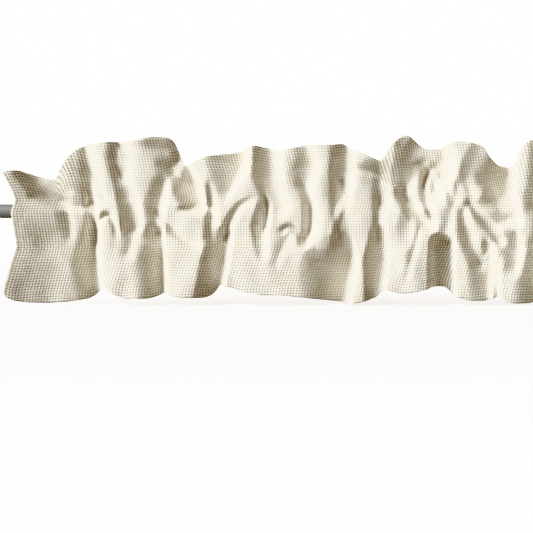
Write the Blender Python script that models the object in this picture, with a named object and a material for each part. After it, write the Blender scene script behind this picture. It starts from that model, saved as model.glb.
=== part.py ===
"""A ruffled window valance gathered on a round curtain rod.

Two pieces: the valance, one cloth panel whose upper part is turned over and sewn
down as a rod pocket with a standing header, and the plain rod that passes through
the pocket.  X runs along the rod, Z is up, and the viewer stands on the -Y side.
The origin is on the rod's axis, midway between its ends.
"""

from collections import namedtuple

import bpy
import numpy as np

MM = 0.001

# Driving dimensions, in millimetres.
CLOTH_WIDTH = 980.0        # along the rod, once gathered
ROD_RADIUS = 12.5
ROD_LENGTH = 1070.0
ROD_EDGE = 1.0             # bevel round each end of the rod
ROD_SIDES = 48

UPPER_SEAM = 19.0          # height of the stitching just above the rod
LOWER_SEAM = -46.0         # height of the stitching under the pocket
POCKET_RADIUS = 16.5       # the pocket's cloth, mid-thickness, round the rod
DEEPEST = -12.0            # how far the folds reach behind the rod's axis, at most
GUARD_HEIGHT = 26.0        # height over which the cloth is kept in front of the rod
TUNNEL_INSET = 2.6         # from a seam to the pocket's tunnel
POCKET_DEPTH = 7.0         # least distance from the pocket's front to its back layer

CLOTH_THICKNESS = 2.0
HEADER_THICKNESS = 3.4     # two layers lie together in the header
HEM_THICKNESS = 2.8        # the turned-up hem
STEEPEST = 2.2             # most that a slope widens the cloth, measured along Y
CREASE_RADIUS = 3.0        # softness of the bottom of a fold
END_FADE = 14.0            # a fold dies out this far beyond its two ends
FADE_GROWTH = 90.0         # a fold this wide takes twice as far to die out
NARROWEST = 0.4            # a fold that runs out narrows to this share of its width
WANDER = 2.2               # how far a fold strays from its drawn line
GIVE = 2.0                 # softness where the cloth comes to rest on the rod

COLUMNS = 97
SKIRT_STEPS = (0.0, 0.2, 0.4, 0.6, 0.78, 0.91)        # from hem to lower seam
POCKET_HEIGHTS = (-36.0, -24.0, -10.0, 3.0, 12.0)
HEADER_STEPS = (0.16, 0.38, 0.6, 0.8, 1.0)            # from upper seam to top edge

# How far the cloth stands out towards the viewer where no fold draws it in.
Reach = namedtuple("Reach", "height forward")
REACHES = (
    Reach(-165, 37), Reach(-75, 36), Reach(LOWER_SEAM, 35), Reach(-20, 37),
    Reach(0, 37), Reach(UPPER_SEAM, 35), Reach(60, 34), Reach(130, 36),
)

# Where the cloth swells out between the folds, as rounded humps.
Swell = namedtuple("Swell", "along height wide tall rise")
SWELLS = (
    Swell(205, -105, 36, 55, 6), Swell(312, -105, 34, 55, 6), Swell(430, -100, 55, 55, 7),
    Swell(608, -100, 18, 50, 5), Swell(685, -95, 28, 50, 7), Swell(775, -105, 20, 50, 6),
    Swell(860, -105, 30, 50, 6), Swell(945, -105, 24, 50, 6), Swell(541, -25, 15, 26, 8),
    Swell(110, 75, 14, 30, 5), Swell(168, 85, 16, 35, 5), Swell(225, 85, 26, 40, 6),
    Swell(352, 55, 20, 30, 5), Swell(418, 75, 14, 40, 5), Swell(480, 80, 18, 40, 6),
    Swell(530, 70, 16, 40, 6), Swell(598, 45, 18, 35, 6), Swell(745, 85, 24, 35, 6),
    Swell(880, 80, 16, 35, 6), Swell(700, 30, 12, 30, 5), Swell(930, 60, 20, 50, 4),
)

# The folds.  Each runs from start through middle to end, as distances along the rod
# from the cloth's left edge and heights from the rod's axis.  Its depths are at those
# three places, and it is left and right wide on its two sides.  A crisp fold has a
# sharp ridge on its left and a gentle valley; one that is not is pinched in its
# valley.  Floor is the share of the left width that stays flat along the valley.
Fold = namedtuple("Fold", "start middle end depths left right crisp floor", defaults=(0.0,))
FOLDS = (
    # header
    Fold((24, 82), (54, 46), (98, 26), (11, 19, 10), 18, 46, 0.3),
    Fold((137, 122), (144, 70), (152, 12), (7, 11, 9), 18, 30, 0.0),
    Fold((296, 132), (295, 106), (292, 84), (10, 12, 8), 119, 14, 1.0, 0.82),
    Fold((295, 132), (293, 104), (286, 80), (14, 25, 13), 78, 18, 0.1),
    Fold((194, 124), (191, 94), (196, 62), (8, 14, 12), 18, 34, 0.0),
    Fold((198, 66), (211, 24), (219, -26), (8, 16, 14), 20, 22, 0.8),
    Fold((300, 88), (321, 48), (332, 12), (26, 37, 27), 36, 12, 0.4),
    Fold((270, 52), (260, 8), (252, -40), (9, 14, 12), 24, 18, 0.2),
    Fold((406, 106), (401, 72), (380, 32), (17, 23, 9), 68, 14, 0.4),
    Fold((454, 118), (450, 66), (470, 8), (15, 20, 12), 30, 26, 0.8),
    Fold((515, 104), (523, 76), (517, 46), (6, 14, 9), 31, 13, 0.4),
    Fold((506, 46), (521, 2), (510, -50), (7, 23, 17), 16, 11, 0.3),
    Fold((578, 122), (576, 66), (574, 18), (13, 18, 7), 28, 24, 0.5),
    Fold((634, 84), (638, 50), (638, 10), (2, 6, 9), 15, 22, 0.2),
    Fold((606, 72), (642, 62), (680, 42), (6, 16, 16), 10, 34, 0.2),
    Fold((722, 124), (744, 84), (724, 30), (23, 33, 18), 88, 26, 0.5),
    Fold((690, 116), (692, 70), (686, 22), (10, 15, 12), 36, 46, 0.8),
    Fold((676, 34), (694, 4), (722, -24), (18, 22, 13), 18, 12, 0.3),
    Fold((862, 108), (855, 52), (866, -8), (15, 41, 33), 66, 12, 0.0),
    Fold((862, 108), (852, 62), (852, 30), (5, 8, 5), 86, 12, 1.0, 0.6),
    Fold((914, 125), (914, 66), (908, 5), (12, 15, 12), 34, 18, 0.2),
    # pocket
    Fold((52, 24), (92, 12), (142, 6), (10, 17, 10), 9, 22, 0.2),
    Fold((139, 34), (147, -4), (150, -50), (9, 18, 20), 15, 16, 0.0),
    Fold((220, 2), (222, -28), (213, -70), (9, 15, 6), 26, 24, 0.2),
    Fold((347, 46), (350, 8), (347, -44), (4, 12, 11), 12, 16, 0.0),
    Fold((411, 16), (386, -8), (373, -42), (4, 10, 10), 10, 12, 0.2),
    Fold((638, 22), (635, -12), (633, -46), (6, 8, 8), 9, 14, 0.0),
    Fold((777, 0), (787, -42), (806, -88), (9, 17, 18), 18, 14, 0.2),
    Fold((787, 14), (814, -17), (840, -50), (11, 18, 16), 13, 12, 0.0),
    Fold((906, 10), (914, -20), (908, -50), (10, 14, 11), 26, 18, 0.2),
    # skirt
    Fold((146, 54), (149, -54), (160, -165), (3, 21, 23), 142, 14, 0.5),
    Fold((152, -34), (150, -92), (160, -165), (16, 34, 30), 38, 12, 0.0),
    Fold((262, -38), (264, -90), (267, -165), (27, 39, 35), 48, 11, 0.0),
    Fold((378, -40), (370, -88), (355, -160), (22, 35, 32), 38, 12, 0.5),
    Fold((588, -66), (585, -96), (574, -165), (11, 33, 32), 72, 12, 0.1),
    Fold((640, -38), (638, -84), (633, -165), (12, 28, 14), 29, 12, 0.8, 0.1),
    Fold((755, -56), (755, -96), (755, -165), (38, 40, 40), 34, 9, 1.0, 0.5),
    Fold((821, -62), (822, -100), (820, -165), (10, 18, 11), 38, 14, 0.3),
    Fold((867, -36), (869, -64), (864, -98), (9, 16, 9), 30, 12, 0.4),
    Fold((908, -60), (912, -95), (914, -165), (12, 22, 28), 54, 16, 0.2),
)
FOLD_PIECES = 8            # straight pieces that a fold's curved path is measured by

# Ridges stand out where folds draw in.
RIDGES = (
    Fold((541, 112), (545, 30), (554, -48), (3, 6, 5), 30, 12, 1.0),
    Fold((571, 8), (561, -16), (552, -50), (3, 4, 2), 8, 8, 0.6),
    Fold((794, 46), (808, 33), (826, 24), (3, 8, 4), 14, 12, 1.0),
)

# Waves that bend the folds' paths: how many, their lengths, and how much less the
# height counts than the distance along the rod.
WAVE_COUNT = 12
WAVE_SHORTEST = 55.0
WAVE_LONGEST = 130.0
WAVE_SLANT = 0.6

# The outline: distance from the left edge and height, for the top edge and the hem.
Edge = namedtuple("Edge", "along height")
TOP_EDGE = (
    Edge(0, 66), Edge(25, 70), Edge(55, 60), Edge(86, 54),
    Edge(94, 70), Edge(118, 102), Edge(140, 112), Edge(205, 117),
    Edge(250, 125), Edge(284, 122), Edge(297, 96), Edge(310, 74),
    Edge(330, 90), Edge(385, 98), Edge(404, 101), Edge(420, 112),
    Edge(464, 102), Edge(500, 111), Edge(575, 114), Edge(605, 98),
    Edge(637, 86), Edge(654, 104), Edge(680, 129), Edge(708, 108),
    Edge(740, 104), Edge(764, 118), Edge(812, 110), Edge(824, 90),
    Edge(842, 74), Edge(862, 74), Edge(874, 108), Edge(900, 123),
    Edge(945, 118), Edge(980, 96),
)
HEM_EDGE = (
    Edge(0, -134), Edge(20, -148), Edge(75, -154), Edge(145, -148),
    Edge(166, -125), Edge(188, -140), Edge(245, -146), Edge(270, -139),
    Edge(300, -145), Edge(345, -144), Edge(366, -122), Edge(405, -134),
    Edge(480, -141), Edge(582, -156), Edge(632, -145), Edge(643, -130),
    Edge(675, -138), Edge(725, -128), Edge(750, -128), Edge(768, -144),
    Edge(815, -150), Edge(835, -142), Edge(865, -154), Edge(905, -152),
    Edge(926, -137), Edge(955, -148), Edge(980, -150),
)
# The side edges: height, and how far the edge is drawn in there.
Side = namedtuple("Side", "height inset")
SIDE_EDGE = (
    Side(-150, -2), Side(-122, 2), Side(-86, 13), Side(-58, 22),
    Side(-35, 19), Side(0, 14), Side(22, 21), Side(44, 12), Side(66, 0),
)
SIDE_FADE = 45.0           # how far in from the edge the cloth is still drawn in
RIGHT_SHARE = 0.6          # the right edge is drawn in less than the left one
FLAP_LEAN = 22.0           # the header's left end leans towards the viewer
FLAP_WIDTH = 60.0
FLAP_TOP = 66.0            # height of the top edge at the left end
FLAP_REACH = 1.2           # above that height the lean still grows up to this share
FLAP_CURVE = 1.2           # how the lean curves up from the upper seam
END_LEAN = 22.0            # so does the cloth's left edge below it
END_WIDTH = 40.0
END_TOP = 70.0             # height where that lean begins
END_RISE = 50.0            # and the drop over which it reaches its full size
OUTLINE_BLUR = 5.0         # rounds the corners of the outline tables

CREAM = (0.79, 0.75, 0.65, 1.0)
GREY = (0.42, 0.43, 0.44, 1.0)


def outline(rows, along):
    """Height of an edge table at the given distances, with its corners rounded."""
    places = [row.along for row in rows]
    heights = [row.height for row in rows]
    offsets = np.linspace(-2.0, 2.0, 9)
    weights = np.exp(-0.5 * offsets**2)
    samples = [np.interp(along + OUTLINE_BLUR * o, places, heights) for o in offsets]
    return np.tensordot(weights / weights.sum(), np.array(samples), axes=1)


def fold_depth(fold, along, height):
    """How far one fold draws the cloth in at each place."""
    start, middle, end = (np.array(point, float) for point in fold[:3])
    bend = 2 * middle - (start + end) / 2
    t = np.linspace(0.0, 1.0, FOLD_PIECES + 1)[:, None]
    path = (1 - t) ** 2 * start + 2 * t * (1 - t) * bend + t**2 * end
    depths = np.interp(t[:, 0], (0.0, 0.5, 1.0), fold.depths)

    nearest = np.full(along.shape, np.inf)
    side = np.zeros(along.shape)
    past = np.zeros(along.shape)
    depth = np.zeros(along.shape)
    for first, last, depth_first, depth_last in zip(path, path[1:], depths, depths[1:]):
        step = last - first
        length = np.hypot(*step)
        ux, uz = step / length
        share = ((along - first[0]) * ux + (height - first[1]) * uz) / length
        share = np.clip(share, 0.0, 1.0)
        dx = along - first[0] - share * step[0]
        dz = height - first[1] - share * step[1]
        across = dz * ux - dx * uz
        beyond = dx * ux + dz * uz
        distance = np.hypot(across, beyond)
        closer = distance < nearest
        nearest = np.where(closer, distance, nearest)
        side = np.where(closer, across, side)
        past = np.where(closer, np.abs(beyond), past)
        depth = np.where(closer, depth_first + (depth_last - depth_first) * share, depth)

    to_right = 0.5 + 0.5 * side / np.hypot(side, CREASE_RADIUS)
    taper = NARROWEST + (1.0 - NARROWEST) * depth / max(fold.depths)
    width = taper * (fold.left + (fold.right - fold.left) * to_right)
    flat = fold.floor * (1.0 - to_right)
    soft = np.hypot(side, CREASE_RADIUS) - CREASE_RADIUS
    share = np.maximum((soft / width - flat) / (1.0 - flat), 0.0)
    fade = END_FADE * (1.0 + max(fold.left, fold.right) / FADE_GROWTH)
    share = np.minimum(np.hypot(share, past / fade), 1.0)
    pinched = 1.0 - np.sin(0.5 * np.pi * share)
    bowl_left = np.cos(0.5 * np.pi * share)
    bowl_right = 0.5 + 0.5 * np.cos(np.pi * share)
    bowl = bowl_left + (bowl_right - bowl_left) * to_right
    return depth * (pinched + fold.crisp * (bowl - pinched))


def waves(along, height, seed):
    """Gentle seeded waves that run in all directions, about one high."""
    random = np.random.default_rng(seed)
    total = np.zeros(along.shape)
    for _ in range(WAVE_COUNT):
        length = random.uniform(WAVE_SHORTEST, WAVE_LONGEST)
        angle = random.uniform(0.0, np.pi)
        phase = random.uniform(0.0, 2 * np.pi)
        run = along * np.cos(angle) + WAVE_SLANT * height * np.sin(angle)
        total += np.sin(2 * np.pi * run / length + phase)
    return total / np.sqrt(WAVE_COUNT)


def forward(along, height):
    """How far the front of the cloth stands out from the rod's axis."""
    along, height = np.broadcast_arrays(np.asarray(along, float), np.asarray(height, float))
    out = np.interp(height, [r.height for r in REACHES], [r.forward for r in REACHES])
    for swell in SWELLS:
        far = ((along - swell.along) / swell.wide) ** 2
        far += ((height - swell.height) / swell.tall) ** 2
        out = out + swell.rise * np.exp(-0.5 * far)
    bent_along = along + WANDER * waves(along, height, 5)
    bent_height = height + WANDER * waves(along, height, 6)
    for fold in FOLDS:
        out = out - fold_depth(fold, bent_along, bent_height)
    for ridge in RIDGES:
        out = out + fold_depth(ridge, bent_along, bent_height)
    rise = np.clip((height - UPPER_SEAM) / (FLAP_TOP - UPPER_SEAM), 0.0, FLAP_REACH)
    out = out + FLAP_LEAN * rise**FLAP_CURVE * np.exp(-((along / FLAP_WIDTH) ** 2))
    below = np.clip((END_TOP - height) / END_RISE, 0.0, 1.0)
    out = out + END_LEAN * below * np.exp(-along / END_WIDTH)
    guard = DEEPEST + (POCKET_RADIUS - DEEPEST) * np.exp(-((height / GUARD_HEIGHT) ** 2))
    return GIVE * np.logaddexp(out / GIVE, guard / GIVE)


def column_places():
    """Distances of the columns from the left edge, closer together on steep cloth."""
    fine = np.linspace(0.0, CLOTH_WIDTH, 981)
    travel = np.zeros(fine.shape)
    for height in (90.0, 40.0, -20.0, -80.0, -120.0):
        travel += np.hypot(1.0, np.gradient(forward(fine, height), fine))
    total = np.concatenate(([0.0], np.cumsum(0.5 * (travel[1:] + travel[:-1]))))
    return np.interp(np.linspace(0.0, total[-1], COLUMNS), total, fine)


def drawn_in(along, height):
    """Shift the places near the two side edges inwards."""
    inset = np.interp(height, [s.height for s in SIDE_EDGE], [s.inset for s in SIDE_EDGE])
    from_right = CLOTH_WIDTH - along
    left = inset * np.exp(-along / SIDE_FADE)
    right = RIGHT_SHARE * inset * np.exp(-from_right / SIDE_FADE)
    return along + left - right


def pocket_back(low, high):
    """The pocket's back layer in one column, from the lower seam to the upper one."""
    angles = np.radians((138.0, 90.0, 38.0))
    round_rod = POCKET_RADIUS * np.stack([-np.sin(angles), np.cos(angles)], axis=1)
    sag = np.array((-3.0, 0.0))
    first = low + 0.34 * (round_rod[0] - low) + sag
    second = low + 0.68 * (round_rod[0] - low) + sag
    return np.vstack([low, first, second, round_rod, high])


def tunnel_edge(front_row, back_row, seam, inside):
    """Edge of the pocket's tunnel: just inside a seam, midway between the layers."""
    share = TUNNEL_INSET / abs(front_row[inside, 1] - front_row[seam, 1])
    layers = np.stack([front_row, back_row])
    return np.mean(layers[:, seam] + share * (layers[:, inside] - layers[:, seam]), axis=0)


def offset_path(path, distance):
    """Move a (forward, height) path sideways by a distance."""
    along = np.gradient(path, axis=0)
    along /= np.linalg.norm(along, axis=1)[:, None]
    normal = np.stack([-along[:, 1], along[:, 0]], axis=1)
    return path + distance * normal


def plain_material(name, colour, roughness, metallic):
    """A material of one colour."""
    material = bpy.data.materials.new(name)
    material.use_nodes = True
    shader = material.node_tree.nodes["Principled BSDF"]
    shader.inputs["Base Color"].default_value = colour
    shader.inputs["Roughness"].default_value = roughness
    shader.inputs["Metallic"].default_value = metallic
    return material


def strip(first, second, crossed=False):
    """Two triangles for each step along a pair of matching vertex rows.

    The cloth is thin, so both of its faces are cut along the same diagonals: crossed
    picks the other diagonal for rows that run the other way.
    """
    faces = []
    for a, b, c, d in zip(first, first[1:], second, second[1:]):
        faces += [(a, c, b), (b, c, d)] if crossed else [(a, d, b), (a, c, d)]
    return faces


def valance():
    """The cloth: skirt, rod pocket and header in one solid, open at both ends."""
    places = column_places()
    top = outline(TOP_EDGE, places)
    hem = outline(HEM_EDGE, places)
    skirt = [hem + step * (LOWER_SEAM - hem) for step in SKIRT_STEPS]
    pocket = [np.full(places.shape, z) for z in (LOWER_SEAM, *POCKET_HEIGHTS, UPPER_SEAM)]
    header = [UPPER_SEAM + step * (top - UPPER_SEAM) for step in HEADER_STEPS]
    height = np.array(skirt + pocket + header)
    low = len(skirt)
    high = low + len(pocket) - 1

    along = drawn_in(np.broadcast_to(places, height.shape), height)
    front = forward(along, height)
    slope = np.gradient(front, axis=1) / np.gradient(along, axis=1)
    widening = np.minimum(np.hypot(1.0, slope), STEEPEST)
    thickness = np.full(len(height), CLOTH_THICKNESS)
    thickness[:2] = HEM_THICKNESS
    thickness[high:] = HEADER_THICKNESS
    back = front - thickness[:, None] * widening

    vertices = []
    outers = []
    inners = []
    for column in range(COLUMNS):
        x = along[:, column]
        front_row = np.stack([front[:, column], height[:, column]], axis=1)
        back_row = np.stack([back[:, column], height[:, column]], axis=1)
        middle = 0.5 * (front_row + back_row)
        behind = pocket_back(middle[low], middle[high])
        furthest = front_row[low + 1:high, 0] - POCKET_DEPTH
        behind[1:-1, 0] = np.minimum(behind[1:-1, 0], furthest)
        back_row[low + 1:high] = offset_path(behind, 0.5 * CLOTH_THICKNESS)[1:-1]
        inner_front = front_row[low + 1:high] - (CLOTH_THICKNESS, 0.0)
        inner_back = offset_path(behind, -0.5 * CLOTH_THICKNESS)[1:-1]
        floor_point = tunnel_edge(front_row, back_row, low, low + 1)
        roof_point = tunnel_edge(front_row, back_row, high, high - 1)

        def add(points, places_along):
            start = len(vertices)
            for (out, z), place in zip(points, places_along):
                x_here = place - 0.5 * CLOTH_WIDTH
                vertices.append((x_here * MM, -out * MM, z * MM))
            return list(range(start, len(vertices)))

        outer = add(front_row, x) + add(back_row[::-1], x[::-1])
        tunnel = np.vstack([floor_point, inner_front, roof_point, inner_back[::-1]])
        tunnel_x = np.concatenate([x[low:high + 1], x[low + 1:high][::-1]])
        inner = add(tunnel, tunnel_x)
        outers.append(outer)
        inners.append(inner)

    faces = []
    rows = len(height)
    for left, right in zip(outers, outers[1:]):
        faces += strip(left[:rows + 1], right[:rows + 1])
        faces += strip(left[rows:] + left[:1], right[rows:] + right[:1], crossed=True)
    layers = high - low
    for left, right in zip(inners, inners[1:]):
        faces += strip(right[:layers + 1], left[:layers + 1], crossed=True)
        faces += strip(right[layers:] + right[:1], left[layers:] + left[:1])
    faces += end_faces(outers[0], inners[0], low, high)
    faces += [face[::-1] for face in end_faces(outers[-1], inners[-1], low, high)]

    mesh = bpy.data.meshes.new("valance_cloth")
    mesh.from_pydata(vertices, [], faces)
    mesh.update()
    mesh.materials.append(plain_material("cotton cloth", CREAM, 0.9, 0.0))
    cloth = bpy.data.objects.new("valance_cloth", mesh)
    bpy.context.collection.objects.link(cloth)


def end_faces(outer, inner, low, high):
    """Close one end of the cloth, leaving the pocket's tunnel open."""
    rows = len(outer) // 2
    front = outer[:rows]
    back = outer[rows:][::-1]
    layers = high - low
    tunnel_front = inner[:layers + 1]
    tunnel_back = [inner[0]] + inner[layers:][::-1]
    faces = strip(back[:low + 1], front[:low + 1])
    faces += strip(back[high:], front[high:])
    faces += strip(tunnel_front, front[low:high + 1])
    faces += strip(back[low:high + 1], tunnel_back)
    faces.append((front[low], inner[0], back[low]))
    faces.append((back[high], inner[layers], front[high]))
    return faces


def rod():
    """The plain round rod, with a small bevel at each flat end."""
    bpy.ops.mesh.primitive_cylinder_add(
        vertices=ROD_SIDES,
        radius=ROD_RADIUS * MM,
        depth=ROD_LENGTH * MM,
        rotation=(0.0, 0.5 * np.pi, 0.0),
    )
    part = bpy.context.object
    part.name = "curtain_rod"
    bevel = part.modifiers.new("end edges", "BEVEL")
    bevel.width = ROD_EDGE * MM
    bevel.segments = 1
    bevel.limit_method = "ANGLE"
    bevel.angle_limit = np.radians(60.0)
    part.data.shade_smooth()
    part.data.set_sharp_from_angle(angle=np.radians(40.0))
    part.data.materials.append(plain_material("grey steel", GREY, 0.45, 0.6))


def main():
    """Clear the scene and build both pieces."""
    for old in list(bpy.data.objects):
        bpy.data.objects.remove(old)
    valance()
    rod()


main()
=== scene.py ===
# %% [markdown]
# A ruffled window valance hangs on a plain round rod.  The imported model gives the
# rod and a coarse solid of the cloth in its folds.  This file keeps the rod, gives
# it a metal finish, and puts a fine sheet of woven cloth on the folds of the solid.
# The model is loaded first, because every place below is worked out from it.

# %% Load the fixed model
import math
from collections import namedtuple

import bpy
import numpy as np
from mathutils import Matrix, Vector


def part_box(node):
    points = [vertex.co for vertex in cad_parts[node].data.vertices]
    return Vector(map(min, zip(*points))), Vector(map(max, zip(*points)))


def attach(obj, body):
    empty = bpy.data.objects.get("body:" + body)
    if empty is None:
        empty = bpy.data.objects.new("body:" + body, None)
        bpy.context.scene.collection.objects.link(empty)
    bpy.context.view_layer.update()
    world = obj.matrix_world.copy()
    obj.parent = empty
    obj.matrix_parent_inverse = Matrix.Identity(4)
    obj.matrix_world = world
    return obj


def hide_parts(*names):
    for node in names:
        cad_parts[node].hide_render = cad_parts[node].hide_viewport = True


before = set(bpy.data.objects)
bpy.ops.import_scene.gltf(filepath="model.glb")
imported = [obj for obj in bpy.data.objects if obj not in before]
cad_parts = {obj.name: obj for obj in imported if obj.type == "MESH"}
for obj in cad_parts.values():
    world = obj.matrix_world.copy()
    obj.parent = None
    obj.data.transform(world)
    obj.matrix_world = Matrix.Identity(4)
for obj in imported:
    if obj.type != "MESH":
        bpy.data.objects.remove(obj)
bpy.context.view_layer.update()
for thing in bpy.context.selected_objects:
    thing.select_set(False)

MM = 0.001

# %% [markdown]
# The main sizes come from the model's own boxes: how wide the cloth is once it is
# gathered, to the nearest centimetre, and how thick the rod is.  The two lines of
# stitching that make the rod pocket lie at fixed heights above and below the rod's
# axis.  Lengths are in millimetres up to where the mesh is made.

# %% Sizes of the cloth and the rod
cloth_low, cloth_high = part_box("valance_cloth")
rod_low, rod_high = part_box("curtain_rod")

ROD_RADIUS = 0.5 * (rod_high[2] - rod_low[2]) / MM
CLOTH_WIDTH = round((cloth_high[0] - cloth_low[0]) / MM, -1)
CLOTH_LEFT = -0.5 * CLOTH_WIDTH
UPPER_SEAM = 19.0
LOWER_SEAM = -46.0
POCKET_RADIUS = ROD_RADIUS + 3.6
DEEPEST = -12.0                     # no fold reaches further back than this
THICKNESS = 1.0                     # one layer of the woven cloth
HEM_TURN = 26.0                     # height of the turned-up hem
HEM_GAP = 1.9                       # from the front to the layer behind it
HEADER_GAP = 2.8
SEAM_GAP = 1.7
print(f"rod radius {ROD_RADIUS:.1f} mm, cloth {CLOTH_WIDTH:.0f} mm along it")

# %% [markdown]
# The outline of a ruffle is uneven.  Each row below gives a distance from the left
# edge and a height above the rod's axis; the cloth's own stiffness rounds the
# corners between the rows.  The rows for the side edges give how far they are drawn
# in at a height.

# %% Outline of the top edge, the hem and the side edges
Edge = namedtuple("Edge", "along height")
TOP_EDGE = (
    Edge(0, 66), Edge(8, 70), Edge(25, 70), Edge(55, 60), Edge(80, 54), Edge(89, 54),
    Edge(94, 70), Edge(104, 87), Edge(118, 102), Edge(140, 112), Edge(175, 118),
    Edge(205, 117), Edge(225, 122), Edge(250, 126), Edge(276, 125), Edge(288, 118),
    Edge(297, 96), Edge(304, 80), Edge(310, 74), Edge(318, 80), Edge(330, 90),
    Edge(350, 95), Edge(385, 98), Edge(404, 101), Edge(412, 109), Edge(422, 112),
    Edge(445, 107), Edge(464, 102), Edge(478, 106), Edge(510, 112), Edge(545, 113),
    Edge(575, 114), Edge(588, 106), Edge(610, 98), Edge(625, 90), Edge(637, 86),
    Edge(644, 94), Edge(650, 106), Edge(660, 119), Edge(676, 129), Edge(686, 128),
    Edge(696, 119), Edge(708, 108), Edge(722, 104), Edge(740, 105), Edge(750, 113),
    Edge(764, 119), Edge(790, 117), Edge(812, 110), Edge(818, 98), Edge(826, 88),
    Edge(838, 77), Edge(856, 73), Edge(864, 75), Edge(868, 92), Edge(874, 108),
    Edge(884, 119), Edge(900, 124), Edge(945, 119), Edge(962, 110), Edge(980, 96),
)
HEM_EDGE = (
    Edge(0, -134), Edge(6, -142), Edge(18, -148), Edge(40, -152), Edge(75, -154),
    Edge(110, -152), Edge(140, -148), Edge(154, -142), Edge(161, -132), Edge(166, -124),
    Edge(174, -130), Edge(188, -140), Edge(205, -146), Edge(245, -146), Edge(262, -142),
    Edge(270, -138), Edge(284, -141), Edge(300, -144), Edge(340, -145), Edge(352, -141),
    Edge(360, -133), Edge(366, -122), Edge(378, -125), Edge(405, -134), Edge(440, -140),
    Edge(480, -141), Edge(520, -146), Edge(560, -152), Edge(582, -155), Edge(605, -152),
    Edge(630, -145), Edge(638, -138), Edge(643, -130), Edge(656, -134), Edge(675, -138),
    Edge(700, -134), Edge(725, -128), Edge(750, -128), Edge(757, -135), Edge(768, -144),
    Edge(790, -149), Edge(815, -150), Edge(830, -146), Edge(838, -141), Edge(846, -149),
    Edge(865, -154), Edge(890, -154), Edge(908, -151), Edge(920, -142), Edge(927, -136),
    Edge(938, -143), Edge(955, -148), Edge(980, -150),
)
Side = namedtuple("Side", "height inset")
SIDE_EDGE = (
    Side(-150, -2), Side(-122, 2), Side(-86, 13), Side(-58, 22),
    Side(-35, 19), Side(0, 14), Side(22, 21), Side(44, 12), Side(66, 0),
)
SIDE_FADE = 45.0                    # the side edges' shape dies out over this width
RIGHT_SHARE = 0.6                   # the right side edge is drawn in less
BELL_REACH = 2.0                    # how many widths of the bell a rounded corner takes
BELL_SAMPLES = 13


def outline(rows, along, blur):
    """Height of an edge table at the given distances, with its corners rounded."""
    places = [row.along for row in rows]
    heights = [row.height for row in rows]
    offsets = np.linspace(-BELL_REACH, BELL_REACH, BELL_SAMPLES)
    weights = np.exp(-0.5 * offsets**2)
    samples = [np.interp(along + blur * shift, places, heights) for shift in offsets]
    return np.tensordot(weights / weights.sum(), np.array(samples), axes=1)


def drawn_in(along, height):
    """Shift the places near the two side edges inwards."""
    heights = [row.height for row in SIDE_EDGE]
    inset = np.interp(height, heights, [row.inset for row in SIDE_EDGE])
    left = inset * np.exp(-along / SIDE_FADE)
    right = RIGHT_SHARE * inset * np.exp(-(CLOTH_WIDTH - along) / SIDE_FADE)
    return along + left - right


print(len(TOP_EDGE), "points along the top,", len(HEM_EDGE), "along the hem")

# %% [markdown]
# Gathered cloth stands out from the rod in rounded humps between sharp valleys.
# Each fold below is a valley that runs from start through middle to end, with a
# depth at each of the three.  Its left and right sides have widths of their own:
# most folds fall gently on the left and rise steeply on the right, because the cloth
# leans over that way.  A crisp of 0 pinches the valley, and 1 rounds it, so that it
# is steepest at its far edge.  Floor is the share of the left side that lies flat.
# These two tables hold the folds and ridges that the solid has too.

# %% Humps and main folds
Reach = namedtuple("Reach", "height forward")
REACHES = (
    Reach(-165, 37), Reach(-75, 36), Reach(LOWER_SEAM, 35), Reach(-20, 37),
    Reach(0, 37), Reach(UPPER_SEAM, 35), Reach(60, 34), Reach(130, 36),
)
Swell = namedtuple("Swell", "along height wide tall rise")
SWELLS = (
    Swell(205, -105, 36, 55, 6), Swell(312, -105, 34, 55, 6), Swell(430, -100, 55, 55, 7),
    Swell(608, -100, 18, 50, 5), Swell(685, -95, 28, 50, 7), Swell(775, -105, 20, 50, 6),
    Swell(860, -105, 30, 50, 6), Swell(945, -105, 24, 50, 6), Swell(541, -25, 15, 26, 8),
    Swell(110, 75, 14, 30, 5), Swell(168, 85, 16, 35, 5), Swell(225, 85, 26, 40, 6),
    Swell(352, 55, 20, 30, 5), Swell(418, 75, 14, 40, 5), Swell(480, 80, 18, 40, 6),
    Swell(530, 70, 16, 40, 6), Swell(598, 45, 18, 35, 6), Swell(745, 85, 24, 35, 6),
    Swell(880, 80, 16, 35, 6), Swell(700, 30, 12, 30, 5), Swell(930, 60, 20, 50, 4),
)
Fold = namedtuple("Fold", "start middle end depths left right crisp floor", defaults=(0.0,))
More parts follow.
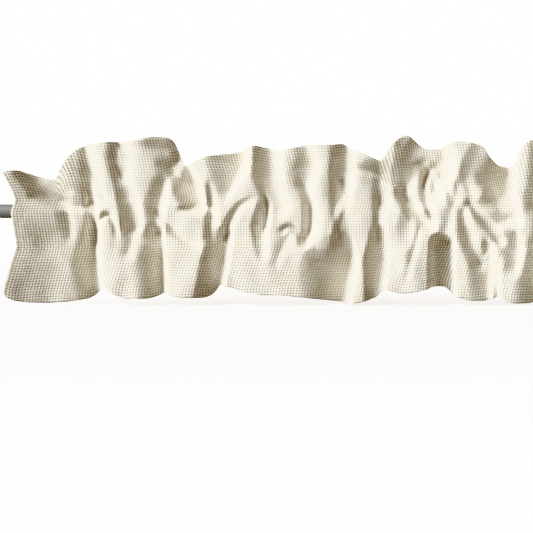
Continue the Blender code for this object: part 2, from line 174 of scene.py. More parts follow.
MAIN_FOLDS = (
    # header
    Fold((24, 82), (54, 46), (98, 26), (11, 19, 10), 18, 46, 0.3),
    Fold((137, 122), (144, 70), (152, 12), (7, 11, 9), 18, 30, 0.0),
    Fold((296, 132), (295, 106), (292, 84), (10, 12, 8), 119, 14, 1.0, 0.82),
    Fold((295, 132), (293, 104), (286, 80), (14, 25, 13), 78, 18, 0.1),
    Fold((194, 124), (191, 94), (196, 62), (8, 14, 12), 18, 34, 0.0),
    Fold((198, 66), (211, 24), (219, -26), (8, 16, 14), 20, 22, 0.8),
    Fold((300, 88), (321, 48), (332, 12), (26, 37, 27), 36, 12, 0.4),
    Fold((270, 52), (260, 8), (252, -40), (9, 14, 12), 24, 18, 0.2),
    Fold((406, 106), (401, 72), (380, 32), (17, 23, 9), 68, 14, 0.4),
    Fold((454, 118), (450, 66), (470, 8), (15, 20, 12), 30, 26, 0.8),
    Fold((515, 104), (523, 76), (517, 46), (6, 14, 9), 31, 13, 0.4),
    Fold((506, 46), (521, 2), (510, -50), (7, 23, 17), 16, 11, 0.3),
    Fold((578, 122), (576, 66), (574, 18), (13, 18, 7), 28, 24, 0.5),
    Fold((634, 84), (638, 50), (638, 10), (2, 6, 9), 15, 22, 0.2),
    Fold((606, 72), (642, 62), (680, 42), (6, 16, 16), 10, 34, 0.2),
    Fold((722, 124), (744, 84), (724, 30), (23, 33, 18), 88, 26, 0.5),
    Fold((690, 116), (692, 70), (686, 22), (10, 15, 12), 36, 46, 0.8),
    Fold((676, 34), (694, 4), (722, -24), (18, 22, 13), 18, 12, 0.3),
    Fold((862, 108), (855, 52), (866, -8), (15, 41, 33), 66, 12, 0.0),
    Fold((862, 108), (852, 62), (852, 30), (5, 8, 5), 86, 12, 1.0, 0.6),
    Fold((914, 125), (914, 66), (908, 5), (12, 15, 12), 34, 18, 0.2),
    # pocket
    Fold((52, 24), (92, 12), (142, 6), (10, 17, 10), 9, 22, 0.2),
    Fold((139, 34), (147, -4), (150, -50), (9, 18, 20), 15, 16, 0.0),
    Fold((220, 2), (222, -28), (213, -70), (9, 15, 6), 26, 24, 0.2),
    Fold((347, 46), (350, 8), (347, -44), (4, 12, 11), 12, 16, 0.0),
    Fold((411, 16), (386, -8), (373, -42), (4, 10, 10), 10, 12, 0.2),
    Fold((638, 22), (635, -12), (633, -46), (6, 8, 8), 9, 14, 0.0),
    Fold((777, 0), (787, -42), (806, -88), (9, 17, 18), 18, 14, 0.2),
    Fold((787, 14), (814, -17), (840, -50), (11, 18, 16), 13, 12, 0.0),
    Fold((906, 10), (914, -20), (908, -50), (10, 14, 11), 26, 18, 0.2),
    # skirt
    Fold((146, 54), (149, -54), (160, -165), (3, 21, 23), 142, 14, 0.5),
    Fold((152, -34), (150, -92), (160, -165), (16, 34, 30), 38, 12, 0.0),
    Fold((262, -38), (264, -90), (267, -165), (27, 39, 35), 48, 11, 0.0),
    Fold((378, -40), (370, -88), (355, -160), (22, 35, 32), 38, 12, 0.5),
    Fold((588, -66), (585, -96), (574, -165), (11, 33, 32), 72, 12, 0.1),
    Fold((640, -38), (638, -84), (633, -165), (12, 28, 14), 29, 12, 0.8, 0.1),
    Fold((755, -56), (755, -96), (755, -165), (38, 40, 40), 34, 9, 1.0, 0.5),
    Fold((821, -62), (822, -100), (820, -165), (10, 18, 11), 38, 14, 0.3),
    Fold((867, -36), (869, -64), (864, -98), (9, 16, 9), 30, 12, 0.4),
    Fold((908, -60), (912, -95), (914, -165), (12, 22, 28), 54, 16, 0.2),
)
RIDGES = (
    Fold((541, 112), (545, 30), (554, -48), (3, 6, 5), 30, 12, 1.0),
    Fold((571, 8), (561, -16), (552, -50), (3, 4, 2), 8, 8, 0.6),
    Fold((794, 46), (808, 33), (826, 24), (3, 8, 4), 14, 12, 1.0),
)
FLAP_LEAN = 22.0                    # the header's left corner flops forward
FLAP_WIDTH = 60.0
FLAP_TOP = 66.0
FLAP_REACH = 1.2                    # the lean goes on past the flap's top
FLAP_CURVE = 1.2
END_LEAN = 22.0                     # the skirt's left edge stands forward
END_WIDTH = 40.0
END_TOP = 70.0
END_RISE = 50.0
print(len(MAIN_FOLDS), "main folds and", len(RIDGES), "ridges")

# %% [markdown]
# Between the main folds the cloth puckers: short creases fan out from the two
# stitch lines and little loops of slack cloth stand over them.  They are too small
# for the solid, so they are only here.

# %% Small creases
SMALL_CREASES = (
    Fold((50, 32), (72, 24), (100, 16), (4, 11, 7), 8, 24, 0.0),
    Fold((274, 84), (286, 66), (300, 52), (5, 10, 6), 26, 8, 0.4),
    Fold((712, 78), (728, 50), (736, 22), (7, 12, 8), 20, 12, 0.0),
    Fold((150, 67), (160, 43), (170, 23), (4, 7, 4), 10, 12, 0.0),
    Fold((100, 14), (106, -10), (111, -42), (8, 12, 6), 20, 12, 0.0),
    Fold((161, -18), (176, -9), (189, -34), (8, 11, 6), 8, 10, 0.0),
    Fold((256, -4), (286, -31), (322, -58), (8, 15, 7), 14, 16, 0.0),
    Fold((304, 4), (324, 7), (346, 12), (6, 9, 7), 10, 7, 0.0),
    Fold((438, 24), (445, -2), (442, -28), (8, 14, 7), 8, 9, 0.0),
    Fold((442, 8), (437, -24), (441, -66), (7, 13, 5), 20, 14, 1.0),
    Fold((571, 48), (579, 35), (585, 25), (10, 8, 3), 10, 9, 0.0),
    Fold((473, -29), (486, -26), (504, -46), (7, 10, 9), 9, 8, 0.0),
    Fold((483, -38), (472, -60), (462, -88), (3, 5, 3), 20, 14, 0.0),
    Fold((584, -56), (583, -92), (573, -165), (10, 16, 13), 82, 10, 0.7),
    Fold((712, 60), (713, 26), (726, -12), (8, 11, 9), 11, 12, 0.0),
    Fold((712, 46), (732, 72), (752, 34), (9, 15, 5), 10, 14, 0.0),
    Fold((806, 60), (826, 34), (844, 2), (4, 8, 5), 16, 14, 0.0),
    Fold((866, 22), (866, 5), (858, -10), (3, 6, 3), 10, 10, 0.0),
    Fold((684, -6), (685, -26), (682, -50), (4, 7, 4), 22, 12, 0.8),
    Fold((766, 44), (758, 8), (747, -36), (3, 4, 3), 22, 15, 0.0),
    Fold((814, -46), (816, -60), (812, -74), (3, 5, 3), 10, 9, 0.0),
    Fold((703, -30), (694, -65), (682, -108), (4, 5, 2), 16, 12, 0.0),
    Fold((838, -84), (836, -118), (837, -165), (4, 6, 12), 11, 11, 0.0),
    Fold((946, 118), (948, 70), (945, 15), (6, 10, 8), 26, 16, 0.2),
)
print(len(SMALL_CREASES), "small creases")

# %% [markdown]
# One function turns the tables into a surface: how far the front of the cloth
# stands out from the rod's axis at a distance along the rod and a height.  Where
# the folds press the cloth onto the rod it comes to rest on a round guard, so that
# it never cuts the metal.

# %% The surface of the front of the cloth
CREASE_RADIUS = 2.2                 # how round the bottom of a valley is
GIVE = 2.0                          # how softly the cloth comes to rest on the guard
FOLD_PIECES = 12                    # straight pieces in the curve of one fold
FOLD_MARGIN = 12.0                  # a fold reaches this far beyond its sides
END_FADE = 14.0                     # a narrow fold dies out this far beyond its ends
FADE_WIDTH = 90.0                   # a fold this wide dies out over twice as far
NARROWEST = 0.4                     # a fold that runs out narrows to this share
GUARD_HEIGHT = 26.0                 # height over which the guard round the rod fades
GUARD_GAP = 0.4                     # between the guard and the pocket's own radius
WANDER = 2.2                        # how far a fold strays from its drawn line
RUMPLE = 1.1                        # height of the soft rumples between the folds
UPPER_PUCKER = 0.35                 # height of the puckers at the two seams
LOWER_PUCKER = 0.3
PUCKER_STRETCH = 0.15               # puckers run up and down, so they change slowly there
PUCKER_FADE = 11.0                  # how far from a seam a pucker dies out
WAVE_STRETCH = 0.6                  # rumples are longer up and down than across

Waves = namedtuple("Waves", "seed longest shortest count")
ACROSS_WANDER = Waves(5, 130.0, 55.0, 12)
UP_WANDER = Waves(6, 130.0, 55.0, 12)
RUMPLE_WAVES = Waves(3, 75.0, 26.0, 16)
PUCKER_WAVES = Waves(11, 17.0, 8.0, 9)


def fold_path(fold):
    """Points and depths along the curved line of one fold."""
    start, middle, end = (np.array(point, float) for point in fold[:3])
    bend = 2 * middle - (start + end) / 2
    t = np.linspace(0.0, 1.0, FOLD_PIECES + 1)[:, None]
    path = (1 - t) ** 2 * start + 2 * t * (1 - t) * bend + t**2 * end
    return path, np.interp(t[:, 0], (0.0, 0.5, 1.0), fold.depths)


def beside_path(path, depths, x, z):
    """For each place: how far to the side of the path, how far past its ends, how deep."""
    nearest = np.full(x.shape, np.inf)
    side = np.zeros(x.shape)
    past = np.zeros(x.shape)
    depth = np.zeros(x.shape)
    for first, last, depth_first, depth_last in zip(path, path[1:], depths, depths[1:]):
        step = last - first
        length = np.hypot(*step)
        ux, uz = step / length
        share = np.clip(((x - first[0]) * ux + (z - first[1]) * uz) / length, 0.0, 1.0)
        dx = x - first[0] - share * step[0]
        dz = z - first[1] - share * step[1]
        across = dz * ux - dx * uz
        beyond = dx * ux + dz * uz
        distance = np.hypot(across, beyond)
        closer = distance < nearest
        nearest = np.where(closer, distance, nearest)
        side = np.where(closer, across, side)
        past = np.where(closer, np.abs(beyond), past)
        depth = np.where(closer, depth_first + (depth_last - depth_first) * share, depth)
    return side, past, depth


def fold_depth(fold, along, height):
    """How far one fold draws the cloth in at each place."""
    path, depths = fold_path(fold)
    margin = max(fold.left, fold.right) + FOLD_MARGIN
    low = path.min(axis=0) - margin
    high = path.max(axis=0) + margin
    near = (along > low[0]) & (along < high[0]) & (height > low[1]) & (height < high[1])
    side, past, depth = beside_path(path, depths, along[near], height[near])

    to_right = 0.5 + 0.5 * side / np.hypot(side, CREASE_RADIUS)
    taper = NARROWEST + (1.0 - NARROWEST) * depth / max(fold.depths)
    width = taper * (fold.left + (fold.right - fold.left) * to_right)
    flat = fold.floor * (1.0 - to_right)
    soft = np.hypot(side, CREASE_RADIUS) - CREASE_RADIUS
    share = np.maximum((soft / width - flat) / (1.0 - flat), 0.0)
    fade = END_FADE * (1.0 + max(fold.left, fold.right) / FADE_WIDTH)
    share = np.minimum(np.hypot(share, past / fade), 1.0)
    pinched = 1.0 - np.sin(0.5 * np.pi * share)
    bowl_left = np.cos(0.5 * np.pi * share)
    bowl_right = 0.5 + 0.5 * np.cos(np.pi * share)
    bowl = bowl_left + (bowl_right - bowl_left) * to_right
    drawn = np.zeros(along.shape)
    drawn[near] = depth * (pinched + fold.crisp * (bowl - pinched))
    return drawn


def waves(along, height, kind):
    """Gentle random rumples: a sum of seeded waves that run in many directions."""
    random = np.random.default_rng(kind.seed)
    total = np.zeros(np.broadcast(along, height).shape)
    for _ in range(kind.count):
        length = random.uniform(kind.shortest, kind.longest)
        angle = random.uniform(0.0, np.pi)
        phase = random.uniform(0.0, 2 * np.pi)
        run = along * np.cos(angle) + WAVE_STRETCH * height * np.sin(angle)
        total += np.sin(2 * np.pi * run / length + phase)
    return total / np.sqrt(kind.count)


def puckers(along, height):
    """Fine ripples where the stitches pull the gathers together."""
    ripple = waves(along, PUCKER_STRETCH * height, PUCKER_WAVES)
    upper = np.exp(-np.abs(height - UPPER_SEAM) / PUCKER_FADE)
    lower = np.exp(-np.abs(height - LOWER_SEAM) / PUCKER_FADE)
    return ripple * (UPPER_PUCKER * upper + LOWER_PUCKER * lower)


def forward(along, height):
    """How far the front of the cloth stands out from the rod's axis."""
    along, height = np.broadcast_arrays(np.asarray(along, float), np.asarray(height, float))
    out = np.interp(height, [r.height for r in REACHES], [r.forward for r in REACHES])
    for swell in SWELLS:
        far = ((along - swell.along) / swell.wide) ** 2
        far += ((height - swell.height) / swell.tall) ** 2
        out = out + swell.rise * np.exp(-0.5 * far)
    bent_along = along + WANDER * waves(along, height, ACROSS_WANDER)
    bent_height = height + WANDER * waves(along, height, UP_WANDER)
    for fold in MAIN_FOLDS + SMALL_CREASES:
        out = out - fold_depth(fold, bent_along, bent_height)
    for ridge in RIDGES:
        out = out + fold_depth(ridge, bent_along, bent_height)
    out = out + RUMPLE * waves(along, height, RUMPLE_WAVES) + puckers(along, height)
    rise = np.clip((height - UPPER_SEAM) / (FLAP_TOP - UPPER_SEAM), 0.0, FLAP_REACH)
    out = out + FLAP_LEAN * rise**FLAP_CURVE * np.exp(-((along / FLAP_WIDTH) ** 2))
    below = np.clip((END_TOP - height) / END_RISE, 0.0, 1.0)
    out = out + END_LEAN * below * np.exp(-along / END_WIDTH)
    guard_rise = POCKET_RADIUS + GUARD_GAP - DEEPEST
    guard = DEEPEST + guard_rise * np.exp(-((height / GUARD_HEIGHT) ** 2))
    return GIVE * np.logaddexp(out / GIVE, guard / GIVE)


middle_reach = float(forward(0.5 * CLOTH_WIDTH, 0.0))
print(f"cloth at the middle of the rod stands {middle_reach:.1f} mm out")

# %% [markdown]
# The real valance is one strip of cloth: it starts in the turned-up hem, runs up
# the front of skirt, pocket and header, turns over at the top edge, comes down
# behind the rod and ends under the lower stitches.  The mesh is that strip.  Its
# columns lie closer together where the folds are steep, so that every column
# stands for the same width of cloth.

# %% Columns and rows of the strip
COLUMNS = 356
SKIRT_ROWS, POCKET_ROWS, HEADER_ROWS = 34, 22, 28
HEM_ROWS, HEADER_BACK_ROWS, POCKET_BACK_ROWS = 7, 13, 17
STEEPEST = 4.0                      # a steeper slope counts as this one
OUTLINE_BLUR = 2.2                  # how rounded the corners of the outline are
FINE_STEP = 0.5
LEVELS = (95.0, 70.0, 40.0, 0.0, -25.0, -70.0, -100.0, -130.0)


def column_places():
    """Distances of the columns from the left edge."""
    fine = np.linspace(0.0, CLOTH_WIDTH, int(CLOTH_WIDTH / FINE_STEP) + 1)
    travel = np.zeros(fine.shape)
    for height in LEVELS:
        slope = np.gradient(forward(fine, height), fine)
        travel += np.minimum(np.hypot(1.0, slope), STEEPEST)
    total = np.concatenate(([0.0], np.cumsum(0.5 * (travel[1:] + travel[:-1]))))
    return np.interp(np.linspace(0.0, total[-1], COLUMNS), total, fine)


def steps(count, first=0.0, last=1.0):
    """A column of evenly spaced shares, one for each row."""
    return np.linspace(first, last, count)[:, None]


def lay_front():
    """Distances, reaches and heights of the front, from hem to top edge."""
    top = outline(TOP_EDGE, places, OUTLINE_BLUR)
    hem = outline(HEM_EDGE, places, OUTLINE_BLUR)
    skirt = hem + steps(SKIRT_ROWS + 1)[:-1] * (LOWER_SEAM - hem)
    pocket = LOWER_SEAM + steps(POCKET_ROWS + 1)[:-1] * (UPPER_SEAM - LOWER_SEAM)
    pocket = np.broadcast_to(pocket, (POCKET_ROWS, COLUMNS))
    header = UPPER_SEAM + steps(HEADER_ROWS + 1) * (top - UPPER_SEAM)
    height = np.vstack([skirt, pocket, header])
    along = drawn_in(np.broadcast_to(places, height.shape), height)
    return along, forward(along, height), height


places = column_places()
front_along, front_out, front_height = lay_front()
slope = np.gradient(front_out, axis=1) / np.gradient(front_along, axis=1)
print("front grid", front_out.shape, "steepest slope", round(float(np.abs(slope).max()), 1))

# %% [markdown]
# The hidden stretches follow the front at a small gap: the hem is turned up behind
# the skirt, and the header's back lies against its front.  Behind the rod the
# pocket is a loose tube with its own gathers, which run into the folds at the two
# stitch lines.

# %% The turned and back layers
TURN_REACH = 1.6                    # how far the cloth goes round where it turns over
TURN_ROWS = 2
BACK_GAP = 0.6                      # between the pocket's back and its radius
BACK_ANGLES = (40.0, 90.0, 135.0)   # degrees round the rod from its top
BACK_DROOP = 3.0                    # how far the slack below the rod hangs back
BACK_RIPPLE = 6.0                   # how far its slack cloth stands off the rod
BACK_EVEN, BACK_UNEVEN = 0.55, 0.35
BACK_WAVES = Waves(21, 62.0, 30.0, 7)
BACK_SPAN = 40.0                    # how much the gathers change from seam to seam
GATHER_LIMIT = 1.5
EDGE_DROPS = (0.0, 4.0, 8.0)        # rows of the turned-under edge below the stitches


def behind(row_heights, gap):
    """Points a gap behind the front, at the given heights of each column."""
    along = drawn_in(np.broadcast_to(places, row_heights.shape), row_heights)
    out = forward(along, row_heights)
    lean = np.gradient(out, axis=1) / np.gradient(along, axis=1)
    return along, out - gap * np.minimum(np.hypot(1.0, lean), STEEPEST), row_heights


def turn(start, end, rows):
    """A half-round turn of the cloth from one row of points to another."""
    angle = np.pi * steps(rows + 2)[1:-1]
    along = 0.5 * (start[0] + end[0]) + 0.5 * (start[0] - end[0]) * np.cos(angle)
    out = 0.5 * (start[1] + end[1]) + 0.5 * (start[1] - end[1]) * np.cos(angle)
    reach = np.minimum(0.5 * np.abs(start[1] - end[1]), TURN_REACH)
    sign = -1.0 if start[1].mean() < end[1].mean() else 1.0
    return along, out, start[2] + sign * reach * np.sin(angle)


def curve_through(points, count):
    """Points along a smooth curve through a few rows of control points."""
    padded = [2 * points[0] - points[1], *points, 2 * points[-1] - points[-2]]
    spans = len(points) - 1
    rows = []
    for place in np.linspace(0.0, spans, count):
        span = min(int(place), spans - 1)
        t = place - span
        a, b, c, d = padded[span:span + 4]
        rows.append(
            0.5 * (2 * b + (c - a) * t + (2 * a - 5 * b + 4 * c - d) * t**2
                   + (3 * b - a - 3 * c + d) * t**3)
        )
    return np.array(rows)


def lay_pocket_back(upper, lower):
    """The pocket's back layer, from the upper seam round the rod to the lower one."""
    radius = POCKET_RADIUS + BACK_GAP
    controls = [np.stack(upper[1:])]
    for degrees in BACK_ANGLES:
        angle = math.radians(degrees)
        ring = (-radius * math.sin(angle), radius * math.cos(angle))
        controls.append(np.stack([np.full(COLUMNS, value) for value in ring]))
    below = controls[-1] + 0.5 * (np.stack(lower[1:]) - controls[-1])
    below[0] -= BACK_DROOP
    controls += [below, np.stack(lower[1:])]
    path = curve_through(controls, POCKET_BACK_ROWS + 2)[1:-1]
    share = steps(POCKET_BACK_ROWS + 2)[1:-1]
    along = upper[0] + share * (lower[0] - upper[0])
    gather = waves(along, BACK_SPAN * share, BACK_WAVES)
    gather = np.clip(gather, -GATHER_LIMIT, GATHER_LIMIT)
    loose = BACK_RIPPLE * np.sin(np.pi * share) * (BACK_EVEN + BACK_UNEVEN * gather)
    return along, path[:, 0] - loose, path[:, 1]


def row_of(block, row):
    """Distances, reaches and heights of one row of a block."""
    return [part[row] for part in block]


front = (front_along, front_out, front_height)
hem_heights = front_height[0] + HEM_TURN * steps(HEM_ROWS + 1, 1.0, 0.0)
hem_back = behind(hem_heights, HEM_GAP)
hem_turn = turn(row_of(hem_back, -1), row_of(front, 0), TURN_ROWS)

down_header = steps(HEADER_BACK_ROWS + 1, 1.0, 0.0)
header_heights = UPPER_SEAM + down_header * (front_height[-1] - UPPER_SEAM)
header_gap = SEAM_GAP + (HEADER_GAP - SEAM_GAP) * down_header**0.5
header_back = behind(header_heights, header_gap)
top_turn = turn(row_of(front, -1), row_of(header_back, 0), TURN_ROWS)

edge_heights = LOWER_SEAM - np.array(EDGE_DROPS)[:, None] + np.zeros(COLUMNS)
edge_back = behind(edge_heights, SEAM_GAP)
pocket_back = lay_pocket_back(row_of(header_back, -1), row_of(edge_back, 0))

blocks = (hem_back, hem_turn, front, top_turn, header_back, pocket_back, edge_back)
along, out, height = (np.vstack([block[k] for block in blocks]) for k in range(3))
print("strip of", along.shape[0], "rows and", COLUMNS, "columns")

# %% [markdown]
# The weave has to follow the cloth, so every point also gets its place on the flat
# cloth.  Across, that is the length travelled over the folds, and up the strip the
# length travelled from the lower stitches.  The yarns of so open a weave slip and
# close up where the cloth folds, so both lengths are evened out towards straight
# ones.  The cut size of the cloth is the plain length travelled, on average.

# %% Place of every point on the flat cloth
YARN_SLIP = 0.86                    # how much the loose yarns even out by slipping
ACROSS_BLUR = 2.5                   # in columns
DOWN_BLUR = 9.0                     # in rows
UP_BLUR = 7.5                       # in columns
BELL_EDGE = 3                       # the bell of weights stops at three widths


def blurred(values, size, axis):
    """A running average with a bell-shaped weight along one axis of a grid."""
    reach = int(BELL_EDGE * size)
    weights = np.exp(-0.5 * (np.arange(-reach, reach + 1) / size) ** 2)
    weights /= weights.sum()
    pad = [(0, 0), (0, 0)]
    pad[axis] = (reach, reach)
    padded = np.pad(values, pad, mode="edge")
    total = np.zeros(values.shape)
    for shift, weight in enumerate(weights):
        window = [slice(None), slice(None)]
        window[axis] = slice(shift, shift + values.shape[axis])
        total += weight * padded[tuple(window)]
    return total


def across_cloth(out, along):
    """Distance across the flat cloth, from the length travelled over the folds."""
    straight = np.diff(along, axis=1)
    step = np.hypot(straight, np.diff(out, axis=1))
    step = blurred(blurred(step, ACROSS_BLUR, 1), DOWN_BLUR, 0)
    step = step + YARN_SLIP * (straight - step)
    return np.hstack([np.zeros((len(step), 1)), np.cumsum(step, axis=1)])


def up_cloth(along, out, height):
    """Distance along the strip from the lower stitches of the front."""
    common = np.diff(out, axis=0).mean(axis=1, keepdims=True)
    straight = np.hypot(common, np.diff(height, axis=0))
    step = np.sqrt(np.diff(along, axis=0) ** 2 + np.diff(out, axis=0) ** 2
                   + np.diff(height, axis=0) ** 2)
    step = blurred(step + YARN_SLIP * (straight - step), UP_BLUR, 1)
    total = np.vstack([np.zeros((1, COLUMNS)), np.cumsum(step, axis=0)])
    return total - total[SEAM_ROW]


FIRST_FRONT_ROW = len(hem_back[0]) + len(hem_turn[0])
SEAM_ROW = FIRST_FRONT_ROW + SKIRT_ROWS
flat_u = across_cloth(out, along)
flat_v = up_cloth(along, out, height)
surface = np.stack([CLOTH_LEFT + along, -out, height], axis=-1) * MM

# %% [markdown]
# The strip becomes a mesh of four-sided faces, smooth all over.  A Solidify
# modifier gives it the thickness of one layer of cloth, half to each side, and is
# applied so that the mesh is closed.

# %% Mesh of the cloth
def new_piece(name, mesh):
    """A piece in the scene that rides on the model's only body."""
    piece = bpy.data.objects.new(name, mesh)
    bpy.context.collection.objects.link(piece)
    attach(piece, "root")
    return piece


def strip_mesh(name):
    """The strip of cloth with its flat places as a UV map."""
    mesh = bpy.data.meshes.new(name)
    rows, columns = along.shape
    index = np.arange(rows * columns).reshape(rows, columns)
    faces = np.stack([index[:-1, :-1], index[:-1, 1:], index[1:, 1:], index[1:, :-1]], -1)
    mesh.from_pydata(surface.reshape(-1, 3), [], faces.reshape(-1, 4).tolist())
    layer = mesh.uv_layers.new(name="flat cloth")
    flat = np.stack([flat_u, flat_v], axis=-1).reshape(-1, 2) * MM
    corners = np.zeros(len(mesh.loops), dtype=int)
    mesh.loops.foreach_get("vertex_index", corners)
    layer.data.foreach_set("uv", flat[corners].ravel())
    mesh.shade_smooth()
    return mesh


valance = new_piece("gathered_valance", strip_mesh("gathered_valance"))
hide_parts("valance_cloth")
bpy.context.view_layer.objects.active = valance
solidify = valance.modifiers.new("cloth thickness", "SOLIDIFY")
solidify.thickness = THICKNESS * MM
solidify.offset = 0.0
bpy.ops.object.modifier_apply(modifier=solidify.name)
print(len(valance.data.polygons), "faces,", 2 * len(valance.data.polygons), "triangles")

# %% [markdown]
# Three lines of sewing run the length of the valance: two close the rod pocket and
# one holds the turned-up hem, and each shows on the front and on the back.  A short
# line runs up each side hem.  One stitch is a small grain of thread, made once from
# a sphere; its copies are laid along the lines, each lying in the cloth's surface.

# %% Stitches
STITCH_PITCH = 3.4 * MM
STITCH_SIZE = (1.25 * MM, 0.34 * MM, 0.28 * MM)     # half its length, width and height
STITCH_LIFT = 0.5 * THICKNESS * MM + 0.08 * MM
SIDE_HEM = 9.0
HEM_STITCH_ROW = 8                  # rows up the front from the hem's lower edge
BACK_HEM_ROW = 1                    # rows down the back from the hem's upper edge
top_row = SEAM_ROW + POCKET_ROWS + HEADER_ROWS
upper_back_row = top_row + len(top_turn[0]) + len(header_back[0])
lower_back_row = len(surface) - len(edge_back[0])


def one_stitch():
    """Corners and faces of a single stitch that lies along X."""
    bpy.ops.mesh.primitive_uv_sphere_add(
        segments=6, ring_count=4, radius=1.0, rotation=(0.0, 0.5 * math.pi, 0.0))
    grain = bpy.context.object
    bpy.ops.object.transform_apply(rotation=True)
    bpy.ops.object.mode_set(mode="EDIT")
    bpy.ops.mesh.select_all(action="SELECT")
    bpy.ops.transform.resize(value=STITCH_SIZE)
    bpy.ops.object.mode_set(mode="OBJECT")
    corners = np.array([vertex.co[:] for vertex in grain.data.vertices])
    faces = [list(polygon.vertices) for polygon in grain.data.polygons]
    bpy.data.objects.remove(grain)
    return corners, faces


def stitch_line(path, outward):
    """Places and directions of stitches along a path on the cloth."""
    lengths = np.linalg.norm(np.diff(path, axis=0), axis=1)
    travelled = np.concatenate(([0.0], np.cumsum(lengths)))
    at = np.arange(STITCH_PITCH, travelled[-1] - STITCH_PITCH, STITCH_PITCH)

    def along_path(values):
        return np.stack([np.interp(at, travelled, values[:, k]) for k in range(3)], axis=1)

    forward_way = along_path(np.gradient(path, travelled, axis=0))
    forward_way /= np.linalg.norm(forward_way, axis=1, keepdims=True)
    up_way = along_path(outward)
    up_way -= forward_way * np.sum(up_way * forward_way, axis=1, keepdims=True)
    up_way /= np.linalg.norm(up_way, axis=1, keepdims=True)
    side_way = np.cross(up_way, forward_way)
    return along_path(path) + STITCH_LIFT * up_way, np.stack([forward_way, side_way, up_way], 1)


def sewn_lines():
    """Every line of stitches: along the seams and hems, and up the two side hems."""
    outward = np.cross(np.gradient(surface, axis=1), np.gradient(surface, axis=0))
    outward /= np.linalg.norm(outward, axis=2, keepdims=True)
    rows = (BACK_HEM_ROW, FIRST_FRONT_ROW + HEM_STITCH_ROW,
            SEAM_ROW, SEAM_ROW + POCKET_ROWS, upper_back_row, lower_back_row)
    lines = [stitch_line(surface[row], outward[row]) for row in rows]
    front_rows = slice(FIRST_FRONT_ROW, top_row)
    for edge in (SIDE_HEM, CLOTH_WIDTH - SIDE_HEM):
        column = int(np.argmin(np.abs(places - edge)))
        lines.append(stitch_line(surface[front_rows, column], outward[front_rows, column]))
    return lines


def stitch_mesh(name, lines):
    """One mesh with a copy of the stitch at every place of every line."""
    centres = np.concatenate([centre for centre, _ in lines])
    turned = np.concatenate([ways for _, ways in lines])
    corners, faces = one_stitch()
    points = centres[:, None, :] + np.einsum("ck,skj->scj", corners, turned)
    starts = len(corners) * np.arange(len(centres))
    all_faces = [[corner + start for corner in face] for start in starts for face in faces]
    mesh = bpy.data.meshes.new(name)
    mesh.from_pydata(points.reshape(-1, 3), [], all_faces)
    mesh.shade_smooth()
    return mesh


lines = sewn_lines()
stitches = new_piece("sewing_stitches", stitch_mesh("sewing_stitches", lines))
print(sum(len(centre) for centre, _ in lines), "stitches in", len(lines), "lines")

# %% [markdown]
# The cloth is a coarse basket weave: flat cream yarns, each a few threads side by
# side, that pass over and under each other.  Where four yarns meet there is a small
# gap, painted with dark taupe shade; a faint line of painted shade runs where two
# yarns lie side by side.  The weave is worked out from the flat place of each
# point, so it bends with the folds.  It is a node group that takes that place and
# gives the gaps, the height and a tint for each crossing.

# %% Node helpers
def node(tree, kind, place, **settings):
    """Add a node at a place on the grid and set its properties."""
    made = tree.nodes.new(kind)
    made.location = (220 * place[0], -180 * place[1])
    for key, value in settings.items():
        setattr(made, key, value)
    return made


def maths(tree, operation, place, *inputs, clamp=False):
    """Add a Math node whose inputs are sockets or numbers, and give its output."""
    made = node(tree, "ShaderNodeMath", place, operation=operation, use_clamp=clamp)
    for socket, value in zip(made.inputs, inputs):
        if isinstance(value, bpy.types.NodeSocket):
            tree.links.new(value, socket)
        else:
            socket.default_value = value
    return made.outputs[0]


def ramp(tree, place, value, low, high, to_low=0.0, to_high=1.0):
    """A smooth step of a value from one level to another."""
    made = node(tree, "ShaderNodeMapRange", place, interpolation_type="SMOOTHSTEP")
    tree.links.new(value, made.inputs["Value"])
    levels = (("From Min", low), ("From Max", high), ("To Min", to_low), ("To Max", to_high))
    for name, level in levels:
        made.inputs[name].default_value = level
    return made.outputs["Result"]


def mix_colour(tree, place, share, first, second):
    """Mix two colours, each a socket or a plain colour."""
    made = node(tree, "ShaderNodeMix", place, data_type="RGBA")
    for name, value in (("Factor_Float", share), ("A_Color", first), ("B_Color", second)):
        socket = next(s for s in made.inputs if s.identifier == name)
        if isinstance(value, bpy.types.NodeSocket):
            tree.links.new(value, socket)
        else:
            socket.default_value = value
    return next(s for s in made.outputs if s.identifier == "Result_Color")


def choose(tree, place, share, first, second):
    """The first of two numbers where share is 0 and the second where it is 1."""
    made = node(tree, "ShaderNodeMix", place, data_type="FLOAT")
    for socket, value in zip((made.inputs[0], made.inputs[2], made.inputs[3]),
                             (share, first, second)):
        tree.links.new(value, socket)
    return made.outputs[0]


def noise(tree, place, vector, scale, detail, dimensions="2D"):
    """A noise texture on a vector."""
    made = node(tree, "ShaderNodeTexNoise", place, noise_dimensions=dimensions)
    made.inputs["Scale"].default_value = scale
    made.inputs["Detail"].default_value = detail
    tree.links.new(vector, made.inputs["Vector"])
    return made


def new_material(name):
    """A new material with its node tree and its shader."""
    material = bpy.data.materials.new(name)
    material.use_nodes = True
    return material, material.node_tree, material.node_tree.nodes["Principled BSDF"]


def add_relief(tree, shader, height, strength, distance):
    """Roughen the surface of a material with a height."""
    bump = node(tree, "ShaderNodeBump", (-2, 3))
    bump.inputs["Strength"].default_value = strength
    bump.inputs["Distance"].default_value = distance
    tree.links.new(height, bump.inputs["Height"])
    tree.links.new(bump.outputs["Normal"], shader.inputs["Normal"])


